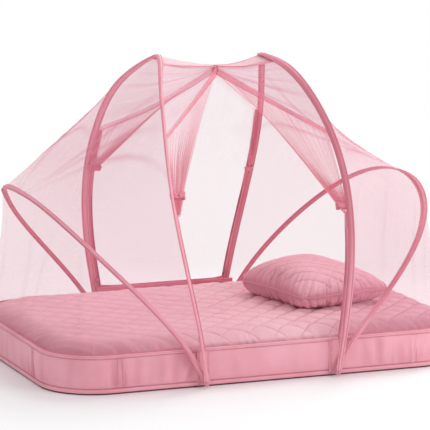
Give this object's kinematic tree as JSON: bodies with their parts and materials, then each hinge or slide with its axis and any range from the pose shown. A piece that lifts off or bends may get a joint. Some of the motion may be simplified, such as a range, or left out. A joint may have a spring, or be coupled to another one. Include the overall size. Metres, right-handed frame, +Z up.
{
  "type": "baby bed net",
  "caption": "Folding baby bed net: a padded tray base with a quilted mattress and a pillow, under sprung wire hoops that carry net walls, a net roof and tied-back leaves.",
  "frame": {"origin": "middle of the underside of the base, where it rests on the floor", "axes": "+X runs along the bed towards the pillow end, +Y runs across it from the open doorway towards the closed rear wall, +Z is up"},
  "size_m": [0.966, 0.7108, 0.6761],
  "materials": {
    "base_fabric": "satin-like woven pink",
    "binding_fabric": "woven pink binding",
    "quilt_fabric": "quilted soft pink",
    "tape_fabric": "rose tape",
    "net": "fine see-through mesh",
    "foam": "soft filling",
    "cap_plastic": "moulded",
    "steel": "sprung wire"
  },
  "bodies": {
    "base": {"base_floor": "base_fabric", "rim_wall": "base_fabric", "rim_top_binding": "binding_fabric", "mattress_cover": "quilt_fabric", "mattress_core": "foam", "rear_sill_band": "tape_fabric", "left_end_net": "net", "right_end_net": "net", "left_front_foot_patch": "binding_fabric", "left_front_pivot_pin": "steel", "left_rear_foot_patch": "binding_fabric", "left_rear_pivot_pin": "steel", "right_front_foot_patch": "binding_fabric", "right_front_pivot_pin": "steel", "right_rear_foot_patch": "binding_fabric", "right_rear_pivot_pin": "steel"},
    "left_low": {"left_low_hoop_wire": "steel", "left_low_hoop_sleeve": "tape_fabric", "left_low_hoop_front_cap": "cap_plastic", "left_low_hoop_rear_cap": "cap_plastic"},
    "left_tall": {"left_tall_hoop_wire": "steel", "left_tall_hoop_sleeve": "tape_fabric", "left_tall_hoop_front_cap": "cap_plastic", "left_tall_hoop_rear_cap": "cap_plastic", "left_side_net": "net", "left_rear_wall_net": "net", "left_ridge_band": "tape_fabric", "left_front_roof_gusset": "net", "left_front_net_leaf": "net", "left_front_leaf_tie": "tape_fabric", "left_front_zip_tape": "tape_fabric", "left_rear_roof_gusset": "net", "left_rear_net_leaf": "net", "left_rear_leaf_tie": "tape_fabric", "left_rear_zip_tape": "tape_fabric"},
    "right_low": {"right_low_hoop_wire": "steel", "right_low_hoop_sleeve": "tape_fabric", "right_low_hoop_front_cap": "cap_plastic", "right_low_hoop_rear_cap": "cap_plastic"},
    "right_tall": {"right_tall_hoop_wire": "steel", "right_tall_hoop_sleeve": "tape_fabric", "right_tall_hoop_front_cap": "cap_plastic", "right_tall_hoop_rear_cap": "cap_plastic", "right_side_net": "net", "right_rear_wall_net": "net", "right_ridge_band": "tape_fabric", "right_front_roof_gusset": "net", "right_front_net_leaf": "net", "right_front_leaf_tie": "tape_fabric", "right_front_zip_tape": "tape_fabric", "right_rear_roof_gusset": "net", "right_rear_net_leaf": "net", "right_rear_leaf_tie": "tape_fabric", "right_rear_zip_tape": "tape_fabric"},
    "left_front_slider": {"left_front_zip_slider": "cap_plastic"},
    "left_rear_slider": {"left_rear_zip_slider": "cap_plastic"},
    "right_front_slider": {"right_front_zip_slider": "cap_plastic"},
    "right_rear_slider": {"right_rear_zip_slider": "cap_plastic"},
    "pillow": {"pillow_cover": "quilt_fabric", "pillow_fill": "foam"}
  },
  "joints": [
    {"name": "left_low_fold", "type": "hinge", "parent": "base", "child": "left_low", "pos_m": [-0.154, 0, 0.012], "axis": [0, -1, 0], "range_deg": [0, 46], "deforming": ["left_end_net"]},
    {"name": "left_tall_fold", "type": "hinge", "parent": "left_low", "child": "left_tall", "pos_m": [-0.154, 0, 0.012], "axis": [0, -1, 0], "range_deg": [0, 14], "deforming": ["left_side_net"]},
    {"name": "left_front_zip_slide", "type": "slide", "parent": "left_tall", "child": "left_front_slider", "axis": [-0.1701, 0.1103, 0.9792], "range_m": [0, 0.0999]},
    {"name": "left_rear_zip_slide", "type": "slide", "parent": "left_tall", "child": "left_rear_slider", "axis": [-0.1701, -0.1103, 0.9792], "range_m": [0, 0.0999]},
    {"name": "right_low_fold", "type": "hinge", "parent": "base", "child": "right_low", "pos_m": [0.154, 0, 0.012], "axis": [0, 1, 0], "range_deg": [0, 46], "deforming": ["right_end_net"]},
    {"name": "right_tall_fold", "type": "hinge", "parent": "right_low", "child": "right_tall", "pos_m": [0.154, 0, 0.012], "axis": [0, 1, 0], "range_deg": [0, 14], "deforming": ["right_side_net"]},
    {"name": "right_front_zip_slide", "type": "slide", "parent": "right_tall", "child": "right_front_slider", "axis": [0.1701, 0.1103, 0.9792], "range_m": [0, 0.0999]},
    {"name": "right_rear_zip_slide", "type": "slide", "parent": "right_tall", "child": "right_rear_slider", "axis": [0.1701, -0.1103, 0.9792], "range_m": [0, 0.0999]},
    {"name": "pillow_lift", "type": "slide", "parent": "base", "child": "pillow", "axis": [0, 0, 1], "range_m": [0, 0.2]}
  ]
}
